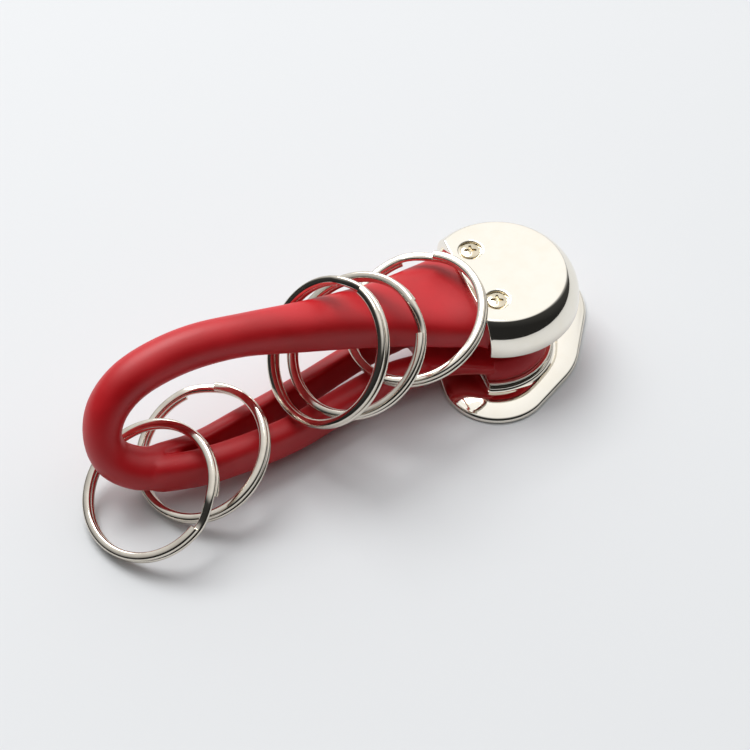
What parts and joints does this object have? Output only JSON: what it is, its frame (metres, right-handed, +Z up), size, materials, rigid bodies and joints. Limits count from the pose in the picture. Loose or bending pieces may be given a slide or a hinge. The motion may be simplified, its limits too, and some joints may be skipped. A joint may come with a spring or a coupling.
{
  "type": "loop key holder",
  "caption": "Rubber strap folded into a loop between a domed metal head and a metal base plate, with split rings threaded on its two arms for keys.",
  "frame": {"origin": "On the base plate's resting face, below the middle of the head's straight edge.", "axes": "+Z up from the resting face, +X along the loop from its bend towards the head, +Y across the strap towards its far side."},
  "size_m": [0.0959, 0.0459, 0.0285],
  "materials": {
    "rubber": "satin moulded rubber",
    "plating": "polished nickel plating on a cast zinc body",
    "ring_plating": "bright nickel plating on spring steel",
    "screw_steel": "plain machined steel"
  },
  "bodies": {
    "lower_half": {"strap_bend": "rubber", "strap_lower_arm": "rubber", "strap_back_strand": "rubber", "strap_front_strand": "rubber", "strap_lower_tongue": "rubber", "base_plate": "plating", "base_nut_plate": "screw_steel", "base_screws": "screw_steel"},
    "upper_half": {"strap_upper_tongue": "rubber", "strap_upper_arm": "rubber", "head_shell": "plating", "head_nut_plate": "screw_steel", "head_screws": "screw_steel"},
    "ring_1": {"ring_1": "ring_plating"},
    "ring_2": {"ring_2": "ring_plating"},
    "ring_3": {"ring_3": "ring_plating"},
    "ring_4": {"ring_4": "ring_plating"},
    "ring_5": {"ring_5": "ring_plating"}
  },
  "joints": [
    {"name": "loop_flex", "type": "hinge", "parent": "lower_half", "child": "upper_half", "pos_m": [-0.058, -0.008, 0.0135], "axis": [0, -1, 0], "range_deg": [0, 20], "stiffness_Nm_per_rad": 0.05, "deforming": ["strap_bend"]},
    {"name": "ring_1_slide", "type": "slide", "parent": "lower_half", "child": "ring_1", "axis": [-0.9663, 0.2126, 0.1449], "range_m": [0, 0.006]},
    {"name": "ring_2_slide", "type": "slide", "parent": "lower_half", "child": "ring_2", "axis": [0.995, 0.0995, 0], "range_m": [-0.004, 0.003]},
    {"name": "ring_3_slide", "type": "slide", "parent": "upper_half", "child": "ring_3", "axis": [-0.9678, -0.0968, 0.2323], "range_m": [0, 0.003]},
    {"name": "ring_4_swing", "type": "hinge", "parent": "upper_half", "child": "ring_4", "pos_m": [-0.0215, -0.0018, 0.0177], "axis": [-0.961, -0.0961, 0.2595], "range_deg": [0, 8]},
    {"name": "ring_5_slide", "type": "slide", "parent": "upper_half", "child": "ring_5", "axis": [-0.9672, -0.0774, 0.2418], "range_m": [0, 0.006]}
  ]
}
